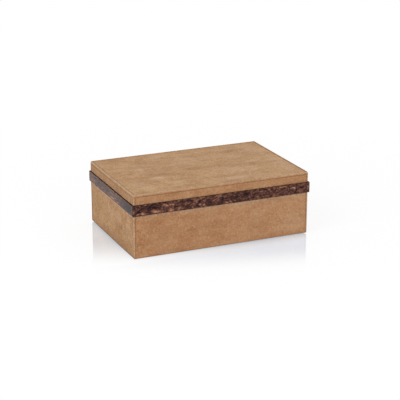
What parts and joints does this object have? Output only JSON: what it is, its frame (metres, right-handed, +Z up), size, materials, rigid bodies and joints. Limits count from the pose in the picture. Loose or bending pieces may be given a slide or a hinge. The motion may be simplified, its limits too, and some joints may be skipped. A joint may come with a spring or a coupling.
{
  "type": "keepsake box",
  "caption": "Low rectangular keepsake box covered in tan suede, with a hinged lid, a polished dark horn band round the lid's lower edge and sewn edges.",
  "frame": {"origin": "middle of the underside, on the surface that the box stands on", "axes": "+X along the front from left to right, the front faces -Y, +Z up"},
  "size_m": [0.3044, 0.2014, 0.1045],
  "materials": {
    "suede": "tan suede, soft nap",
    "horn": "polished mottled dark brown horn",
    "board": "plain fibreboard",
    "lining": "dark brown velveteen",
    "felt": "dark brown felt",
    "brass": "satin brass",
    "pin_steel": "plain steel pin"
  },
  "bodies": {
    "base": {"base_back_board": "board", "base_back_lining": "lining", "base_back_suede": "suede", "base_bottom_board": "board", "base_floor_pad": "lining", "base_front_board": "board", "base_front_lining": "lining", "base_front_suede": "suede", "base_hinge_screws": "brass", "base_left_board": "board", "base_left_lining": "lining", "base_left_suede": "suede", "base_right_board": "board", "base_right_lining": "lining", "base_right_suede": "suede", "base_underside_felt": "felt", "hinge_left_base_leaf": "brass", "hinge_left_pin": "pin_steel", "hinge_right_base_leaf": "brass", "hinge_right_pin": "pin_steel"},
    "lid": {"band_back": "horn", "band_front": "horn", "band_left": "horn", "band_right": "horn", "hinge_left_lid_leaf": "brass", "hinge_right_lid_leaf": "brass", "lid_back_board": "board", "lid_back_lining": "lining", "lid_back_suede": "suede", "lid_ceiling_pad": "lining", "lid_front_board": "board", "lid_front_lining": "lining", "lid_front_suede": "suede", "lid_hinge_screws": "brass", "lid_left_board": "board", "lid_left_lining": "lining", "lid_left_suede": "suede", "lid_right_board": "board", "lid_right_lining": "lining", "lid_right_suede": "suede", "lid_top_board": "board", "lid_top_suede": "suede"}
  },
  "joints": [
    {"name": "lid_hinge", "type": "hinge", "parent": "base", "child": "lid", "pos_m": [0, 0.09875, 0.07095], "axis": [-1, 0, 0], "range_deg": [0, 100]}
  ]
}
